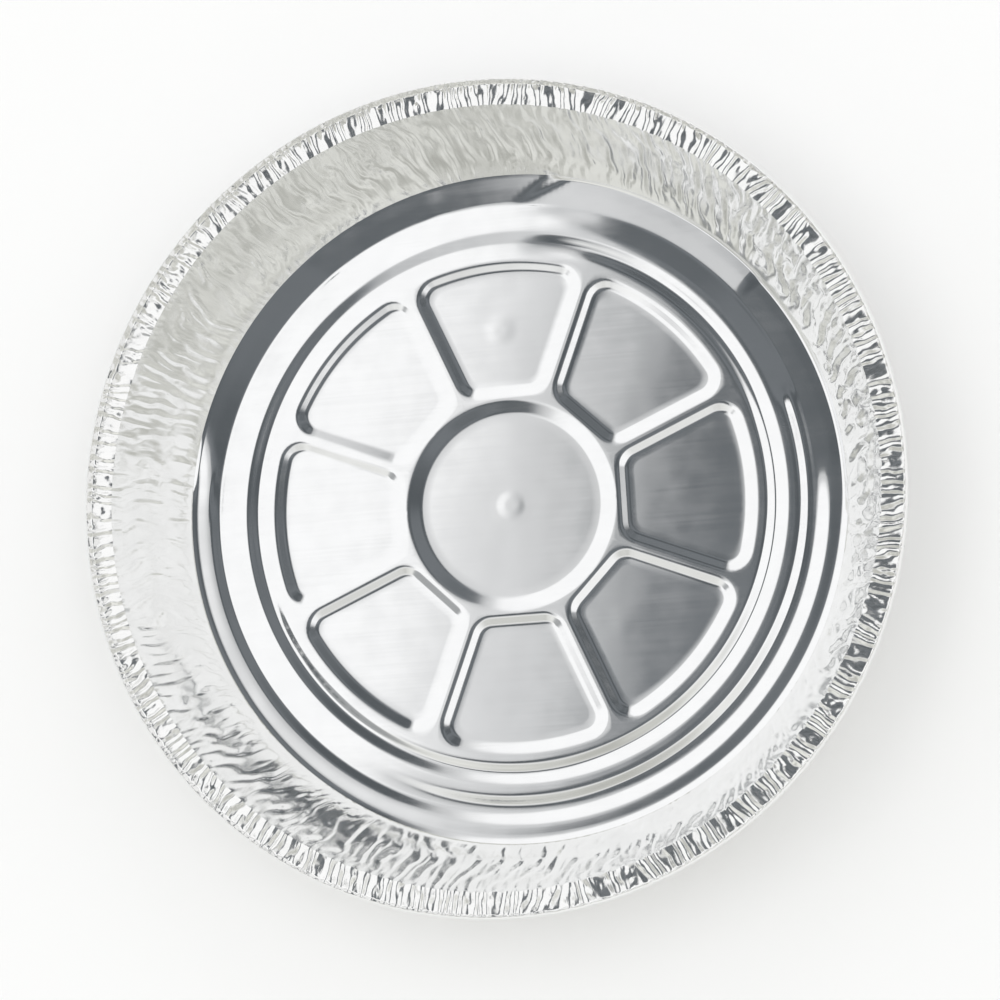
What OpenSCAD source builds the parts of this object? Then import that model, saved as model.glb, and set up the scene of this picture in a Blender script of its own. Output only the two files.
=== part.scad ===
// Round aluminium foil pie tin: one sheet of foil pressed into an embossed
// bottom, a gathered wall and a crimped rim whose edge is rolled outward.
// Units are millimetres. The origin is at the middle of the underside and the
// tin opens toward +Z. The panel with the faint second dimple lies at +Y.

/* [Tin] */
// Outer diameter across the rim
rim_d = 234; // [226:1:250]
// Width of the rim, from the crest above the wall to the rolled edge
rim_w = 7.3; // [6.5:0.1:9]
// Diameter of the bottom, where the wall starts
base_d = 194.6; // [190:0.2:202]
// Height from the table to the top of the lip
tin_h = 37; // [28:1:50]
// Thickness of the foil
foil_t = 0.1; // [0.08:0.01:0.16]

/* [Rim] */
// Distance of the foot of the lip inward from the outer edge of the rim
lip_inset = 1; // [0.9:0.1:3]
// Height of the lip above the foot of the lip
lip_h = 2.9; // [2.2:0.1:4]
// Height that the rolled edge comes down outside the lip
curl_h = 2.3; // [1:0.1:2.8]
// Width of the rolled edge
curl_w = 0.8; // [0.6:0.1:1.1]
// Height of the crest above the foot of the lip
crest_h = 0.3; // [0:0.1:0.8]
// Depth of the crimps, from ridge to groove
crimp_depth = 0.55; // [0.2:0.05:0.7]

/* [Wall] */
// Depth of the gathers at half height, from ridge to groove
gather_depth = 0.7; // [0.2:0.1:1.4]
// Depth of the gathers at the foot of the wall
gather_foot = 0.4; // [0.1:0.1:0.8]
// Angle in degrees by which the gathers bow round the tin at half height
bow_ang = 1.2; // [0:0.1:2]

/* [Bottom] */
// Height of the raised pattern above the recessed panels
emboss_h = 0.9; // [0.6:0.1:1.6]
// Width of each pressed slope
slope_w = 2.8; // [2.2:0.1:3]
// Width of the rounded corner under the wall
corner_w = 1.3; // [0.8:0.1:2]
// Height of that corner above the raised pattern
corner_h = 0.5; // [0.2:0.1:1]
// Width of the outer raised band
band_w = 4.3; // [3:0.1:5]
// Width of the outer groove
groove_w = 2.4; // [1.5:0.1:3]
// Width of the raised ring between the grooves
ring_w = 3.6; // [2.5:0.1:4.5]
// Width of the raised ring that joins the spokes
rib_w = 3; // [2:0.1:4]
// Diameter of the recessed disc in the middle
disc_d = 54; // [46:1:57]
// Width of the slope round the disc
disc_slope = 3.6; // [2.8:0.1:4]
// Flat width of the hub at the middle of a panel
hub_w = 1.3; // [0.8:0.1:2]
// Flat width of a spoke
spoke_w = 2; // [1:0.1:3]
// Corner radius of the panels
panel_r = 3.8; // [2.5:0.1:5]
// Diameter of the two dimples
dimple_d = 9.6; // [7:0.2:12]
// Height of the dimple in the middle of the disc
dimple_h = 0.1; // [0.06:0.01:0.9]
// Height of the fainter dimple in one panel
faint_h = 0.08; // [0.04:0.01:0.5]
// Distance of the fainter dimple from the middle
faint_at = 51.7; // [50:0.1:53.5]

/* [Hidden] */
// Panels round the bottom and columns of points across each panel; half_cols
// is the last column before the middle line
panels = 8;
panel_cols = 9;
half_cols = floor(panel_cols / 2);
// Columns of points round the bottom, the wall and the crimps
base_cols = panels * panel_cols;
wall_cols = 3 * base_cols;
crimp_cols = 2 * wall_cols;
dimple_cols = base_cols / 4;
half_panel = 180 / panels;

// Heights of the upper skin
floor_z = foil_t;
raised_z = foil_t + emboss_h;
corner_z = raised_z + corner_h;
lip_foot_z = tin_h - lip_h;
crest_z = lip_foot_z + crest_h;

// Radii of the upper skin, from the rolled edge inward
edge_r = rim_d / 2;
lip_r = edge_r - curl_w;
crest_r = edge_r - rim_w;
lip_foot_r = edge_r - lip_inset;
corner_r = base_d / 2;
band_out_r = corner_r - corner_w;
band_in_r = band_out_r - band_w;
groove_out_r = band_in_r - slope_w;
groove_in_r = groove_out_r - groove_w;
ring_out_r = groove_in_r - slope_w;
ring_in_r = ring_out_r - ring_w;
valley_r = ring_in_r - slope_w;
rib_out_r = valley_r - slope_w;
rib_in_r = rib_out_r - rib_w;
panel_out_r = rib_in_r - slope_w;

// Radii from the middle outward; a panel's inner edge is a straight chord
disc_r = disc_d / 2;
hub_r = disc_r + disc_slope;
chord_top = hub_r + hub_w;
chord_foot = chord_top + slope_w;
dimple_r = dimple_d / 2;

// Heights on the wall where it has a row of points, as shares of its height
foot_share = 0.07;
middle_share = 0.52;

// Share of the dimple's height at half its radius
shoulder_share = 0.7;

// How single gathers and crimps differ: the share of its depth that each one
// keeps, the share that varies, and how far the foot of a gather may shift
// toward the next one
gather_keep = 0.75;
gather_vary = 0.5;
gather_shift = 0.25;
crimp_keep = 0.7;
crimp_vary = 0.3;

// The gathers bow this way and that round the tin, starting at bow_start
bow_waves = 2;
bow_start = 60;

// Outward and upward shares of a crimp's depth on the ledge and on the lip
ledge_push = [-0.5, 0.8];
lip_push = [-0.8, 0];

// Repeatable unevenness of the gathers and crimps
wall_seed = 41;
turn_seed = 17;
rim_seed = 23;
uneven_wall = rands(-1, 1, wall_cols, wall_seed);
uneven_turn = rands(-1, 1, wall_cols, turn_seed);
uneven_rim = rands(-1, 1, crimp_cols, rim_seed);

// A panel is drawn about its own middle line; its edge beside a spoke runs
// along spoke_dir, and spoke_out points from the spoke into the panel
spoke_dir = [cos(half_panel), -sin(half_panel)];
spoke_out = [sin(half_panel), cos(half_panel)];
side_gap = spoke_w / 2 + slope_w + panel_r;
in_along = (chord_foot + panel_r - side_gap * spoke_out[0]) / spoke_dir[0];
out_along = sqrt(pow(panel_out_r - panel_r, 2) - pow(side_gap, 2));
in_centre = in_along * spoke_dir + side_gap * spoke_out;
out_centre = out_along * spoke_dir + side_gap * spoke_out;
side_ang = -half_panel - 90;
out_ang = atan2(out_centre[1], out_centre[0]);

function lerp(a, b, t) = a + (b - a) * t;
function polar(r, a) = [r * cos(a), r * sin(a)];
function turn(p, a) = [p[0] * cos(a) - p[1] * sin(a), p[0] * sin(a) + p[1] * cos(a)];
function lift(p, z) = [p[0], p[1], z];
function zigzag(i) = i % 2 == 0 ? 1 : -1;
function onto_spoke(p) = (p * spoke_dir) * spoke_dir;

// Points on the panel's rounded corners: t runs from the spoke side to the end
function in_corner(r, t) = in_centre + polar(r, lerp(side_ang, -180, t));
function out_corner(r, t) = out_centre + polar(r, lerp(side_ang, out_ang, t));
foot_r = panel_r;
top_r = panel_r + slope_w;

// Half rows of a panel, from the spoke's middle line to the second column of
// the floor; each entry is a point and its height
function in_top_row() = [
    lift(onto_spoke(in_corner(top_r, 0.5)), raised_z),
    lift(in_corner(top_r, 0.5), raised_z),
    lift(in_corner(top_r, 0.75), raised_z),
    lift(in_corner(top_r, 1), raised_z),
    [chord_top, in_centre[1] / 3, raised_z]
];
function in_foot_row() = [
    lift(onto_spoke(in_corner(top_r, 0.25)), raised_z),
    lift(in_corner(top_r, 0.25), raised_z),
    lift(in_corner(foot_r, 0.5), floor_z),
    lift(in_corner(foot_r, 1), floor_z),
    [chord_foot, in_centre[1] / 3, floor_z]
];
function in_floor_row() = [
    lift(onto_spoke(in_corner(top_r, 0)), raised_z),
    lift(in_corner(top_r, 0), raised_z),
    lift(in_corner(foot_r, 0), floor_z),
    lift(in_centre, floor_z),
    [in_centre[0], in_centre[1] / 3, floor_z]
];
function out_floor_row() = [
    lift(onto_spoke(out_corner(top_r, 0)), raised_z),
    lift(out_corner(top_r, 0), raised_z),
    lift(out_corner(foot_r, 0), floor_z),
    lift(out_centre, floor_z),
    lift(polar(norm(out_centre), out_ang / 3), floor_z)
];
function out_foot_row() = [
    lift(onto_spoke(out_corner(top_r, 0.25)), raised_z),
    lift(out_corner(top_r, 0.25), raised_z),
    lift(out_corner(foot_r, 0.5), floor_z),
    lift(out_corner(foot_r, 1), floor_z),
    lift(polar(panel_out_r, out_ang / 3), floor_z)
];
function out_top_row() = [
    lift(onto_spoke(out_corner(top_r, 0.5)), raised_z),
    lift(out_corner(top_r, 0.5), raised_z),
    lift(out_corner(top_r, 0.75), raised_z),
    lift(out_corner(top_r, 1), raised_z),
    lift(polar(rib_in_r, out_ang / 3), raised_z)
];

// A whole row: each half row is mirrored and the panel is repeated
function panel_point(half, j) = let (m = panel_cols - j)
    j <= half_cols ? half[j] : [half[m][0], -half[m][1], half[m][2]];
function panel_row(half) = [
    for (k = [1:panels])
        for (j = [0:panel_cols - 1])
            let (p = panel_point(half, j))
                lift(turn([p[0], p[1]], 2 * half_panel * k), p[2])
];

// A plain round row of n points
function round_row(r, z, n = base_cols) = [
    for (i = [0:n - 1])
        lift(polar(r, half_panel + 360 * i / n), z)
];

// Rows of the wall: share is 0 at the bottom corner and 1 at the crest
function wall_row(share, depth) = [
    for (i = [0:wall_cols - 1])
        let (
            wave = zigzag(i) * depth / 2 * (gather_keep + gather_vary * uneven_wall[i]),
            r = lerp(corner_r, crest_r, share) + wave,
            swing = sin(360 * bow_waves * i / wall_cols + bow_start),
            bow = 4 * share * (1 - share) * bow_ang * swing,
            jitter = gather_shift * uneven_turn[i] * (1 - share),
            a = half_panel + (i + jitter) * 360 / wall_cols + bow
        )
            lift(polar(r, a), lerp(corner_z, crest_z, share))
];

// Rows of the rim; push says which way a crimp moves the foil
function rim_row(r, z, push) = [
    for (i = [0:crimp_cols - 1])
        let (
            wave = zigzag(i) * crimp_depth / 2 * (crimp_keep + crimp_vary * uneven_rim[i]),
            a = half_panel + 360 * i / crimp_cols
        )
            lift(polar(r + push[0] * wave, a), z + push[1] * wave)
];

// The section of the wall and rim, with the way across the foil at each corner
section = [
    [band_out_r, raised_z],
    [corner_r, corner_z],
    [lerp(corner_r, crest_r, foot_share), lerp(corner_z, crest_z, foot_share)],
    [lerp(corner_r, crest_r, middle_share), lerp(corner_z, crest_z, middle_share)],
    [crest_r, crest_z],
    [lip_foot_r, lip_foot_z],
    [lip_r, tin_h],
    [edge_r, tin_h - curl_h]
];
function across(k) = let (d = section[k + 1] - section[k], n = norm(d)) [d[1] / n, -d[0] / n];
function miter(k) = let (a = across(k - 1), b = across(k)) foil_t * (a + b) / (1 + a * b);

// Rows of the upper skin from the middle out
upper_rows = [
    round_row(dimple_r / 2, floor_z + shoulder_share * dimple_h, dimple_cols),
    round_row(dimple_r, floor_z, dimple_cols),
    round_row(disc_r, floor_z),
    round_row(hub_r, raised_z),
    panel_row(in_top_row()),
    panel_row(in_foot_row()),
    panel_row(in_floor_row()),
    panel_row(out_floor_row()),
    panel_row(out_foot_row()),
    panel_row(out_top_row()),
    round_row(rib_out_r, raised_z),
    round_row(valley_r, floor_z),
    round_row(ring_in_r, raised_z),
    round_row(ring_out_r, raised_z),
    round_row(groove_in_r, floor_z),
    round_row(groove_out_r, floor_z),
    round_row(band_in_r, raised_z),
    round_row(band_out_r, raised_z),
    round_row(corner_r, corner_z),
    wall_row(foot_share, gather_foot),
    wall_row(middle_share, gather_depth),
    wall_row(1, 0),
    rim_row(lip_foot_r, lip_foot_z, ledge_push),
    rim_row(lip_r, tin_h, lip_push),
    round_row(edge_r, tin_h - curl_h, wall_cols)
];
in_floor_at = 6;
corner_at = 18;
rows = len(upper_rows);

// The lower skin is the upper one moved across the foil
function drop(k) =
    k < corner_at ? [0, -foil_t]
    : k < rows - 1 ? miter(k - corner_at + 1)
    : foil_t * across(k - corner_at);
function lower_row(k) = let (d = drop(k)) [
    for (p = upper_rows[k])
        let (r = norm([p[0], p[1]]))
            [p[0] * (r + d[0]) / r, p[1] * (r + d[0]) / r, p[2] + d[1]]
];

// The faint dimple takes the place of the floor quads of the panel at +Y
faint_panel = 2;
faint_cols = 8;
function faint_ring(z) = [
    for (i = [0:faint_cols - 1])
        let (p = [faint_at, 0] + polar(dimple_r, (i + 0.5) * 360 / faint_cols))
            lift(turn(p, 2 * half_panel * faint_panel), z)
];
function faint_top(z) = lift(turn([faint_at, 0], 2 * half_panel * faint_panel), z + faint_h);

// All rows as one closed run: up the upper skin and back along the lower one
all_rows = concat(upper_rows, [for (k = [rows - 1:-1:0]) lower_row(k)]);
starts = [for (k = 0, s = 0; k < 2 * rows; s = s + len(all_rows[k]), k = k + 1) s];
total = starts[2 * rows - 1] + len(all_rows[2 * rows - 1]);
points = concat(
    [for (row = all_rows) for (p = row) p],
    [[0, 0, floor_z + dimple_h], [0, 0, dimple_h]],
    faint_ring(floor_z), [faint_top(floor_z)],
    faint_ring(0), [faint_top(0)]
);
upper_faint = total + 2;
lower_faint = upper_faint + faint_cols + 1;

// Which way a quad is cut: toward the panel's middle on the inner rows, away
// from it on the outer ones, so both skins and all corners are alike
function cut(k, i) = (i % panel_cols <= half_cols) == (k <= in_floor_at);
function in_faint(k, i) = k == in_floor_at
    && floor(i / panel_cols) == faint_panel - 1
    && abs(i % panel_cols - half_cols) <= 1;

// Triangles between a row of n points at a and the next row out at b
function equal_band(k, a, b, n) = [
    for (i = [0:n - 1])
        if (!in_faint(k, i))
            let (j = (i + 1) % n)
                each cut(k, i)
                    ? [[a + i, b + j, b + i], [a + i, a + j, b + j]]
                    : [[a + i, a + j, b + i], [a + j, b + j, b + i]]
];
function fine_band(a, b, n, m) = let (q = m / n, h = floor((q + 1) / 2)) concat(
    [for (i = [0:n - 1]) [a + i, a + (i + 1) % n, b + i * q + h]],
    [for (i = [0:m - 1]) [a + floor((i + q - h) / q) % n, b + (i + 1) % m, b + i]]
);
function flip(faces) = [for (f = faces) [f[2], f[1], f[0]]];
function band(k, a, b) = let (n = len(upper_rows[k]), m = len(upper_rows[k + 1]))
    n == m ? equal_band(k, a, b, n)
    : m > n ? fine_band(a, b, n, m)
    : flip(fine_band(b, a, m, n));
function fan(s, n, tip) = [for (i = [0:n - 1]) [s + i, tip, s + (i + 1) % n]];

// The faint dimple's faces: a collar to the floor's outline, then the dome
function faint_faces(s_in, s_out, s) = let (
    c = (faint_panel - 1) * panel_cols + half_cols - 1,
    rim = [
        s_out + c + 2, s_out + c + 3, s_in + c + 3, s_in + c + 2,
        s_in + c + 1, s_in + c, s_out + c, s_out + c + 1
    ]
) concat(
    [for (i = [0:faint_cols - 1]) let (j = (i + 1) % faint_cols) [s + i, s + j, rim[i]]],
    [for (i = [0:faint_cols - 1]) let (j = (i + 1) % faint_cols) [s + j, rim[j], rim[i]]],
    fan(s, faint_cols, s + faint_cols)
);

upper_faces = concat(
    fan(starts[0], dimple_cols, total),
    [for (k = [0:rows - 2]) each band(k, starts[k], starts[k + 1])],
    faint_faces(starts[in_floor_at], starts[in_floor_at + 1], upper_faint)
);
function low(k) = starts[2 * rows - 1 - k];
lower_faces = concat(
    fan(low(0), dimple_cols, total + 1),
    [for (k = [0:rows - 2]) each band(k, low(k), low(k + 1))],
    faint_faces(low(in_floor_at), low(in_floor_at + 1), lower_faint)
);
edge_faces = [
    for (i = [0:wall_cols - 1])
        let (j = (i + 1) % wall_cols, a = starts[rows - 1], b = low(rows - 1))
            each [[a + i, a + j, b + i], [a + j, b + j, b + i]]
];

module pie_tin() {
    color("silver")
        polyhedron(points, concat(upper_faces, flip(lower_faces), edge_faces));
}

pie_tin();
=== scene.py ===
import logging
import math
from dataclasses import dataclass, field
from enum import Enum
from itertools import accumulate, starmap
from typing import Iterable, Sequence

import bpy
import numpy as np
from mathutils import Matrix, Vector, noise


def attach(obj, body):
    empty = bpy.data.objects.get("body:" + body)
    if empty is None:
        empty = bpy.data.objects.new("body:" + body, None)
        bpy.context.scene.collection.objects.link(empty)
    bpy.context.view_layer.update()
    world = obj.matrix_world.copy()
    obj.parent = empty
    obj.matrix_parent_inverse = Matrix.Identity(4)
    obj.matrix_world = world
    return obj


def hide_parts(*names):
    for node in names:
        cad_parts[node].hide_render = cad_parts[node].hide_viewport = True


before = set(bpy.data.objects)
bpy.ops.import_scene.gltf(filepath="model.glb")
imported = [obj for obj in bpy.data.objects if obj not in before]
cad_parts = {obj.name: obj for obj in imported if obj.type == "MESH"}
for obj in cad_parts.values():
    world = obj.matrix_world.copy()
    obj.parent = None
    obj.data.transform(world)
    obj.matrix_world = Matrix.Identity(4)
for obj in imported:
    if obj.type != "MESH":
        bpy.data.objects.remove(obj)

Pair = tuple[float, float]
Colour = tuple[float, float, float, float]
Tree = bpy.types.NodeTree
Socket = bpy.types.NodeSocket
Node = bpy.types.Node
Object = bpy.types.Object

MM = 0.001
NODE = "pie_tin"
BODY = "root"
UV_NAME = "OFBake"
# Radius in millimetres halfway up the wall. Noise round the wall is read on this circle.
WALL_R = 107.0
log = logging.getLogger("foil_tin")


class Zone(Enum):
    """The three zones of the sheet, named after what the press does there."""

    BOTTOM = "pressed_bottom"
    WALL = "gathered_wall"
    RIM = "crimped_rim"


@dataclass(frozen=True)
class TinSizes:
    """Sizes of the tin's upper skin in millimetres, as in the part's source."""

    rim_d: float = 234.0
    rim_w: float = 7.3
    base_d: float = 194.6
    tin_h: float = 37.0
    foil_t: float = 0.1
    lip_inset: float = 1.0
    lip_h: float = 2.9
    curl_h: float = 2.3
    curl_w: float = 0.8
    crest_h: float = 0.3
    emboss_h: float = 0.9
    slope_w: float = 2.8
    corner_w: float = 1.3
    corner_h: float = 0.5
    band_w: float = 4.3
    groove_w: float = 2.4
    ring_w: float = 3.6
    rib_w: float = 3.0
    disc_d: float = 54.0
    disc_slope: float = 3.6
    hub_w: float = 1.3
    spoke_w: float = 2.0
    panel_r: float = 3.8
    dimple_d: float = 9.6
    dimple_h: float = 0.05
    faint_h: float = 0.035
    faint_at: float = 51.7
    panels: int = 8

    @property
    def raised(self) -> float:
        """Height of the raised pattern's upper skin."""
        return self.foil_t + self.emboss_h

    @property
    def corner_r(self) -> float:
        """Radius at the foot of the wall."""
        return self.base_d / 2

    @property
    def crest_r(self) -> float:
        """Radius of the crest above the wall."""
        return self.rim_d / 2 - self.rim_w

    @property
    def lip_foot_z(self) -> float:
        """Height of the ledge at the foot of the lip."""
        return self.tin_h - self.lip_h

    @property
    def crest_z(self) -> float:
        """Height of the crest."""
        return self.lip_foot_z + self.crest_h


@dataclass(frozen=True)
class RingRadii:
    """Radii of the pressed rings, worked out from the corner inward."""

    band_out: float
    band_in: float
    groove_out: float
    groove_in: float
    ring_out: float
    ring_in: float
    valley: float
    rib_out: float
    rib_in: float
    panel_out: float
    hub: float

    @classmethod
    def of(cls, s: TinSizes) -> "RingRadii":
        """Works the radii out.

        Args:
            s: The tin's sizes.

        Returns:
            The radii in millimetres.
        """
        steps = (
            s.corner_r, s.corner_w, s.band_w, s.slope_w, s.groove_w, s.slope_w, s.ring_w,
            s.slope_w, s.slope_w, s.rib_w, s.slope_w,
        )
        inward = list(accumulate(steps, lambda radius, width: radius - width))[1:]
        return cls(*inward, s.disc_d / 2 + s.disc_slope)


# --- Lines and meshes


def rounded_line(corners: Sequence[tuple[float, float, float]], steps: int) -> list[Pair]:
    """Rounds the corners of a profile.

    Args:
        corners: (along, up, rounding) of each corner; a rounding of 0 keeps it sharp.
        steps: Parts that each rounded corner is made of.

    Returns:
        The points of the rounded line.
    """
    out: list[Pair] = []
    for i, (x, z, soft) in enumerate(corners):
        if soft == 0 or i in (0, len(corners) - 1):
            out.append((x, z))
            continue
        here = np.array((x, z))
        before = np.array(corners[i - 1][:2]) - here
        after = np.array(corners[i + 1][:2]) - here
        start = here + before * soft / np.linalg.norm(before)
        end = here + after * soft / np.linalg.norm(after)
        for k in range(steps + 1):
            t = k / steps
            out.append(tuple((1 - t) ** 2 * start + 2 * t * (1 - t) * here + t * t * end))
    return out


def refined(line: Sequence[Pair], longest: float) -> list[Pair]:
    """Splits the long stretches of a line.

    Args:
        line: The line's points.
        longest: The longest stretch allowed.

    Returns:
        The points, with more of them between those far apart.
    """
    out = [line[0]]
    for a, b in zip(line, line[1:]):
        parts = max(1, math.ceil(math.dist(a, b) / longest - 1e-6))
        out += [
            (a[0] + (b[0] - a[0]) * k / parts, a[1] + (b[1] - a[1]) * k / parts)
            for k in range(1, parts + 1)
        ]
    return out


def smooth_step(share: np.ndarray) -> np.ndarray:
    """Eases a share in and out between 0 and 1."""
    t = np.clip(share, 0, 1)
    return t * t * (3 - 2 * t)


def shares(parts: int) -> np.ndarray:
    """Even shares of a whole, from the first part's to 1."""
    return np.arange(1, parts + 1) / parts


def half_shares(parts: int) -> np.ndarray:
    """Shares of one half of an odd number of parts, from the part over the middle to 1."""
    return (np.arange(parts // 2 + 1) + 0.5) * 2 / parts


def arc(radius: float, angles: np.ndarray, middle: Sequence[float] = (0.0, 0.0)) -> np.ndarray:
    """The points of an arc, one for each angle."""
    return np.c_[middle[0] + radius * np.cos(angles), middle[1] + radius * np.sin(angles)]


def mirrored(half: np.ndarray) -> np.ndarray:
    """A line with its mirror image across the X axis, which share its last point."""
    return np.vstack([half, half[-2::-1] * (1, -1)])


def revolved(line: Sequence[Pair], angles: np.ndarray) -> np.ndarray:
    """The points of a (radius, height) profile turned to each angle, row by row."""
    return np.vstack([np.c_[arc(r, angles), np.full(len(angles), z)] for r, z in line])


def new_object(name: str, points: np.ndarray, faces: Iterable[Sequence[int]]) -> Object:
    """Makes a smooth-shaded mesh object.

    Args:
        name: The object's name.
        points: Its points in metres.
        faces: Its faces as point numbers.

    Returns:
        The new object, in the scene.
    """
    mesh = bpy.data.meshes.new(name)
    mesh.from_pydata(np.asarray(points, float).tolist(), [], [list(map(int, f)) for f in faces])
    mesh.polygons.foreach_set("use_smooth", [True] * len(mesh.polygons))
    mesh.update()
    obj = bpy.data.objects.new(name, mesh)
    bpy.context.collection.objects.link(obj)
    return obj


def grid_faces(rows: int, columns: int, closed: bool) -> list[tuple[int, int, int, int]]:
    """Lists the faces of a grid of points that run along each row in turn.

    Args:
        rows: Number of rows.
        columns: Points in a row.
        closed: Whether each row closes on itself.

    Returns:
        Four point numbers a face.
    """
    faces = []
    for j in range(rows - 1):
        for i in range(columns if closed else columns - 1):
            k = (i + 1) % columns
            a, b = j * columns, (j + 1) * columns
            faces.append((a + i, b + i, b + k, a + k))
    return faces


def rows_of(items: Sequence, key: str) -> np.ndarray:
    """Reads three numbers of each item of a mesh.

    Args:
        items: The mesh's points or its smooth normals.
        key: The name of the numbers.

    Returns:
        An array with a row for each item.
    """
    flat = np.empty(len(items) * 3, dtype=np.float32)
    items.foreach_get(key, flat)
    return flat.reshape(-1, 3).astype(float)


@dataclass
class Sheet:
    """A skin of foil that gets its thickness and becomes a piece."""

    points: np.ndarray
    normals: np.ndarray
    faces: list[tuple[int, ...]]
    thickness: float

    def _edge_loops(self) -> list[tuple[int, int]]:
        """Finds the edges of the skin.

        Returns:
            The edges that only one face has, in that face's direction.
        """
        seen: dict[tuple[int, int], tuple[int, int]] = {}
        for f in self.faces:
            for a, b in zip(f, f[1:] + f[:1]):
                key = tuple(sorted((a, b)))
                if key in seen:
                    del seen[key]
                else:
                    seen[key] = (a, b)
        return list(seen.values())

    def to_piece(self, name: str) -> Object:
        """Adds the lower skin and closes the sheet along its edges.

        Args:
            name: The piece's name.

        Returns:
            The closed piece, with the edges of its skins kept crisp.
        """
        count = len(self.points)
        lower = self.points - self.normals * self.thickness
        edges = self._edge_loops()
        sides = [(b, a, a + count, b + count) for a, b in edges]
        under = [tuple(i + count for i in reversed(f)) for f in self.faces]
        obj = new_object(name, np.vstack([self.points, lower]), self.faces + under + sides)
        crisp = {(min(a, b) + k, max(a, b) + k) for a, b in edges for k in (0, count)}
        for e in obj.data.edges:
            if tuple(sorted(e.vertices)) in crisp:
                e.use_edge_sharp = True
        return obj


class FlatMap:
    """Lays the skins of a sheet out flat, so that an export can bake a pattern on them."""

    margin: float = 0.03
    disc_size: float = 0.29
    disc_middle: float = 0.295
    disc_sides: Pair = (0.998, 0.985)
    band_sides: Pair = (0.025, 0.008)

    def __init__(self, piece: Object) -> None:
        """Reads the corners of a piece that Sheet made.

        Args:
            piece: The piece, whose lower skin has the second half of its points.
        """
        self.mesh = piece.data
        point = np.empty(len(self.mesh.loops), dtype=np.int32)
        self.mesh.loops.foreach_get("vertex_index", point)
        sizes = np.empty(len(self.mesh.polygons), dtype=np.int32)
        self.mesh.polygons.foreach_get("loop_total", sizes)
        face = np.repeat(np.arange(len(sizes)), sizes)
        self.count = len(self.mesh.vertices) // 2
        self.low = point >= self.count
        share = (np.bincount(face, self.low) / sizes)[face]
        self.under = share > 0.9
        self.side = (share > 0.1) & ~self.under
        self.point = point % self.count
        x, y = rows_of(self.mesh.vertices, "co")[point, :2].T
        self.radius, angle = np.hypot(x, y), np.arctan2(y, x)
        middle = np.arctan2(np.bincount(face, y)[face], np.bincount(face, x)[face])
        self.middle = middle % math.tau
        self.angle = self.middle + (angle - middle + math.pi) % math.tau - math.pi

    def _write(self, u: np.ndarray, v: np.ndarray) -> None:
        """Keeps the map on the piece."""
        layer = self.mesh.uv_layers.new(name=UV_NAME)
        layer.uv.foreach_set("vector", np.c_[u, v].astype(np.float32).ravel())

    def discs(self) -> None:
        """Lays a round sheet out as two discs, with its narrow side round the first one."""
        reach = self.radius.max() * (1 + self.margin)
        radius = np.where(self.side, reach * np.where(self.low, *self.disc_sides), self.radius)
        radius = radius / reach * self.disc_size
        middle = np.where(self.under, 1 - self.disc_middle, self.disc_middle)
        turn = np.where(self.under, -1.0, 1.0)
        self._write(
            middle + turn * radius * np.cos(self.angle), middle + radius * np.sin(self.angle)
        )

    def lengths(self, climb: np.ndarray, cells: int) -> None:
        """Lays a band out as lengths side by side, the upper skin's before the lower skin's.

        Args:
            climb: Share of the way up the band at each of the upper skin's points.
            cells: Cells along a side of the map, of which half are for each skin.
        """
        parts = cells * cells // 2
        part = np.minimum((self.middle / math.tau * parts).astype(int), parts - 1)
        across = self.angle / math.tau * parts - part
        across = np.where(self.under, across, 1 - across)
        up = climb[self.point]
        past = np.where(self.low, *self.band_sides) * np.where(up < 0.5, -1.0, 1.0)
        up = np.where(self.side, up + past, up)
        cell = part + np.where(self.under, parts, 0)
        inner = 1 - 2 * self.margin
        self._write(
            (cell % cells + self.margin + inner * across) / cells,
            (cell // cells + self.margin + inner * up) / cells,
        )


# --- Node trees


class Wire:
    """A number that runs between the nodes of a tree. Sums on it add Math nodes."""

    def __init__(self, socket: Socket) -> None:
        """Takes the socket that the number comes from."""
        self.socket = socket

    def math(self, operation: str, *others: "Wire | float") -> "Wire":
        """Adds one Math node.

        Args:
            operation: The node's operation.
            others: What goes into its other inputs.

        Returns:
            The result.
        """
        inputs = dict(enumerate((self, *others)))
        node = place(self.socket.id_data, "ShaderNodeMath", inputs, operation=operation)
        return Wire(node.outputs[0])

    def __add__(self, other: "Wire | float") -> "Wire":
        """Sum."""
        return self.math("ADD", other)

    def __sub__(self, other: "Wire | float") -> "Wire":
        """Difference."""
        return self.math("SUBTRACT", other)

    def __mul__(self, other: "Wire | float") -> "Wire":
        """Product."""
        return self.math("MULTIPLY", other)

    def __truediv__(self, other: "Wire | float") -> "Wire":
        """Quotient."""
        return self.math("DIVIDE", other)

    def wave(self) -> "Wire":
        """A smooth wave between -1 and 1, one for each whole number."""
        return (self * math.tau).math("SINE")

    def pillows(self, fullness: float) -> "Wire":
        """Pillows at 0 with sharp valleys to -1 between them, narrower the fuller they are."""
        return (self.math("PINGPONG", 0.5) * 2.0).math("POWER", fullness) * -1.0

    def ramp(self, start: float, end: float, low: float = 0.0, high: float = 1.0) -> "Wire":
        """A smooth step from low, up to its start, to high, from its end on."""
        node = place(
            self.socket.id_data, "ShaderNodeMapRange",
            {"Value": self, "From Min": start, "From Max": end, "To Min": low, "To Max": high},
            interpolation_type="SMOOTHSTEP",
        )
        return Wire(node.outputs["Result"])


def plug(socket: Socket, value: object) -> None:
    """Links a wire or a socket to an input, or sets the input's value.

    Args:
        socket: The input.
        value: A Wire, a socket or a plain value.
    """
    if isinstance(value, Wire):
        value = value.socket
    if isinstance(value, Socket):
        socket.id_data.links.new(value, socket)
    else:
        socket.default_value = value


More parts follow.
